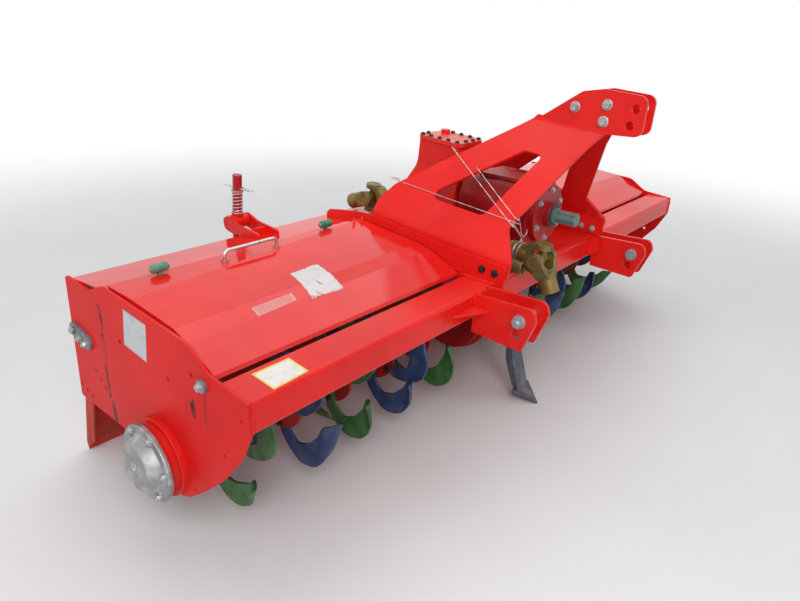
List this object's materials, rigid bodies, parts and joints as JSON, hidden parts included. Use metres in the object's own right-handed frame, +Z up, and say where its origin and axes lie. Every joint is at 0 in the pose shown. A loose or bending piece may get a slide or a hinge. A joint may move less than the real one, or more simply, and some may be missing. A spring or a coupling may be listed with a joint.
{
  "type": "tractor-mounted rotavator",
  "caption": "Red three-point rotavator with a bladed rotor between side plates, a centre gearbox and mast, two lifting hood lids and a hinged trailing board on sprung rods.",
  "frame": {"origin": "on the ground under the middle of the machine", "axes": "+X across the machine to the far side, +Y rearwards, +Z up"},
  "size_m": [2.678, 1.1144, 1.1268],
  "materials": {
    "red_paint": "glossy red paint",
    "cast_red": "red paint over rough casting",
    "blade_blue": "worn blue paint",
    "blade_green": "worn green paint",
    "aluminium": "turned aluminium",
    "zinc": "galvanised steel",
    "plain_steel": "bare steel",
    "shaft_grey": "grey-green protective coat",
    "share_steel": "dark grey paint",
    "olive_zinc": "olive chromate zinc",
    "knob_green": "grey-green plastic"
  },
  "bodies": {
    "frame": {"bearing_caps": "aluminium", "bearing_housings": "red_paint", "bulkhead_far": "red_paint", "bulkhead_near": "red_paint", "centre_floor": "red_paint", "front_beam": "red_paint", "gear_case": "cast_red", "gear_tower": "red_paint", "gearbox": "cast_red", "hinge_lugs": "zinc", "hitch_clevis_far": "red_paint", "hitch_clevis_near": "red_paint", "hitch_pins": "zinc", "lid_bolts": "zinc", "mast_plate_far": "red_paint", "mast_plate_near": "red_paint", "mast_spacers": "zinc", "plough_leg": "share_steel", "plough_point": "share_steel", "rear_deck": "red_paint", "side_plate_far": "red_paint", "side_plate_near": "red_paint", "spare_shaft": "olive_zinc", "spare_tube": "olive_zinc", "spring_brackets": "red_paint", "tower_cover": "red_paint"},
    "rotor": {"rotor_shaft_near": "cast_red", "rotor_shaft_far": "cast_red", "blades_blue_near": "blade_blue", "blades_blue_far": "blade_blue", "blades_green_near": "blade_green", "blades_green_far": "blade_green"},
    "input": {"input_shaft": "shaft_grey"},
    "board": {"trailing_board": "red_paint"},
    "lid_near": {"lid_near": "red_paint", "lid_handle_near": "plain_steel", "lid_knobs_near": "knob_green"},
    "trunnion_near": {"trunnion_near": "red_paint", "coil_spring_near": "plain_steel"},
    "rod_near": {"spring_rod_near": "red_paint", "rod_clip_near": "zinc"},
    "lid_far": {"lid_far": "red_paint", "lid_handle_far": "plain_steel", "lid_knobs_far": "knob_green"},
    "trunnion_far": {"trunnion_far": "red_paint", "coil_spring_far": "plain_steel"},
    "rod_far": {"spring_rod_far": "red_paint", "rod_clip_far": "zinc"}
  },
  "joints": [
    {"name": "rotor_spin", "type": "hinge", "parent": "frame", "child": "rotor", "pos_m": [0, 0.03679, 0.263], "axis": [1, 0, 0], "continuous": true},
    {"name": "input_spin", "type": "hinge", "parent": "frame", "child": "input", "pos_m": [0, -0.39421, 0.717], "axis": [0, 1, 0], "continuous": true},
    {"name": "board_hinge", "type": "hinge", "parent": "frame", "child": "board", "pos_m": [0, 0.43379, 0.47], "axis": [1, 0, 0], "range_deg": [-6, 40]},
    {"name": "lid_hinge_near", "type": "hinge", "parent": "frame", "child": "lid_near", "pos_m": [-0.8, -0.16621, 0.549], "axis": [1, 0, 0], "range_deg": [0, 80]},
    {"name": "lid_hinge_far", "type": "hinge", "parent": "frame", "child": "lid_far", "pos_m": [0.8, -0.16621, 0.549], "axis": [1, 0, 0], "range_deg": [0, 80]},
    {"name": "trunnion_swing_near", "type": "hinge", "parent": "frame", "child": "trunnion_near", "pos_m": [-0.672, 0.49279, 0.646], "axis": [1, 0, 0], "range_deg": [-8, 34]},
    {"name": "rod_slide_near", "type": "slide", "parent": "trunnion_near", "child": "rod_near", "axis": [0, -0.0794, 0.9968], "range_m": [-0.02, 0.09], "deforming": ["coil_spring_near"]},
    {"name": "trunnion_swing_far", "type": "hinge", "parent": "frame", "child": "trunnion_far", "pos_m": [0.672, 0.49279, 0.646], "axis": [1, 0, 0], "range_deg": [-8, 34]},
    {"name": "rod_slide_far", "type": "slide", "parent": "trunnion_far", "child": "rod_far", "axis": [0, -0.0794, 0.9968], "range_m": [-0.02, 0.09], "deforming": ["coil_spring_far"]}
  ],
  "couplings": [
    {"joint": "input_spin", "follows": "rotor_spin", "ratio": -2.7},
    {"joint": "trunnion_swing_near", "follows": "board_hinge", "ratio": 0.55},
    {"joint": "rod_slide_near", "follows": "board_hinge", "m_per_rad": 0.099},
    {"joint": "trunnion_swing_far", "follows": "board_hinge", "ratio": 0.55},
    {"joint": "rod_slide_far", "follows": "board_hinge", "m_per_rad": 0.099}
  ]
}
